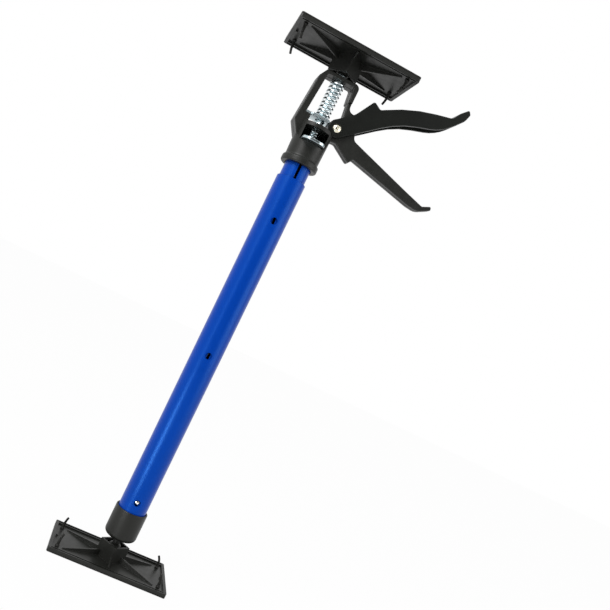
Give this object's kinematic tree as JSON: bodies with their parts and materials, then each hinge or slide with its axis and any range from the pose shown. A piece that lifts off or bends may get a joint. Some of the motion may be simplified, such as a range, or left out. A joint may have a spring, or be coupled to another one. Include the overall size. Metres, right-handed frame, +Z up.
{
  "type": "telescopic drywall support pole",
  "caption": "Telescopic prop with a squeeze trigger that lifts a hexagonal rod, a snap-button tube and rubber-faced swivel plates at both ends.",
  "frame": {"origin": "middle of the foot pad's lower face, with the pole closed up and both plates square to it", "axes": "+Z up the pole to the head pad, +X towards the trigger lever and handle, -Y towards the viewer: the side with the holes and the brake tongue"},
  "size_m": [0.2039, 0.07, 0.5621],
  "materials": {
    "pad_rubber": "soft black rubber, matt",
    "moulded_black": "black moulded plastic with a fine grain",
    "lever_black": "smooth black moulded plastic",
    "tube_blue": "glossy blue paint on steel tube",
    "bright_zinc": "bright zinc with a blue tint",
    "nickel": "nickel plated",
    "spring_steel": "plain spring strip",
    "stop_plastic": "plain black plastic"
  },
  "bodies": {
    "pole": {"outer_tube": "tube_blue", "foot_cup": "moulded_black"},
    "foot_swivel": {"foot_ball_stud": "moulded_black"},
    "foot": {"foot_plate": "moulded_black", "foot_pad": "pad_rubber"},
    "head": {"inner_tube": "tube_blue", "head_body": "moulded_black", "pivot_pin": "nickel", "main_spring": "bright_zinc", "brake_spring": "bright_zinc"},
    "button": {"snap_button": "bright_zinc", "snap_spring": "spring_steel"},
    "trigger": {"trigger_lever": "lever_black"},
    "drive": {"drive_plate": "bright_zinc"},
    "brake": {"brake_plate": "bright_zinc"},
    "rod": {"push_rod": "bright_zinc", "rod_stop": "stop_plastic"},
    "head_swivel": {"head_ball_stud": "moulded_black"},
    "head_top": {"head_plate": "moulded_black", "head_pad": "pad_rubber"}
  },
  "joints": [
    {"name": "foot_spin", "type": "hinge", "parent": "pole", "child": "foot_swivel", "pos_m": [0, 0, 0.0128], "axis": [0, 0, 1], "continuous": true},
    {"name": "foot_tilt", "type": "hinge", "parent": "foot_swivel", "child": "foot", "pos_m": [0, 0, 0.0128], "axis": [1, 0, 0], "range_deg": [-20, 20]},
    {"name": "tube_slide", "type": "slide", "parent": "pole", "child": "head", "axis": [0, 0, 1], "range_m": [0, 0.3094]},
    {"name": "button_press", "type": "slide", "parent": "head", "child": "button", "axis": [0, -1, 0], "range_m": [-0.003, 0.002], "stiffness_N_per_m": 600, "deforming": ["snap_spring"]},
    {"name": "trigger_squeeze", "type": "hinge", "parent": "head", "child": "trigger", "pos_m": [0.0168, 0, 0.4879], "axis": [0, 1, 0], "range_deg": [0, 28], "stiffness_Nm_per_rad": 0.4, "springref_deg": -22.92},
    {"name": "drive_plate_tilt", "type": "hinge", "parent": "head", "child": "drive", "pos_m": [-0.0179, 0, 0.4901], "axis": [0, -1, 0], "range_deg": [0, 8.2], "deforming": ["main_spring"]},
    {"name": "brake_release", "type": "hinge", "parent": "head", "child": "brake", "pos_m": [0, 0.0137, 0.4671], "axis": [-1, 0, 0], "range_deg": [0, 4.5], "stiffness_Nm_per_rad": 0.05, "springref_deg": -11.46, "deforming": ["brake_spring"]},
    {"name": "rod_extend", "type": "slide", "parent": "head", "child": "rod", "axis": [0, 0, 1], "range_m": [0, 0.265]},
    {"name": "head_spin", "type": "hinge", "parent": "rod", "child": "head_swivel", "pos_m": [0, 0, 0.5437], "axis": [0, 0, 1], "continuous": true},
    {"name": "head_tilt", "type": "hinge", "parent": "head_swivel", "child": "head_top", "pos_m": [0, 0, 0.5437], "axis": [1, 0, 0], "range_deg": [-12, 12]}
  ],
  "couplings": [
    {"joint": "drive_plate_tilt", "follows": "trigger_squeeze", "ratio": 0.29}
  ]
}
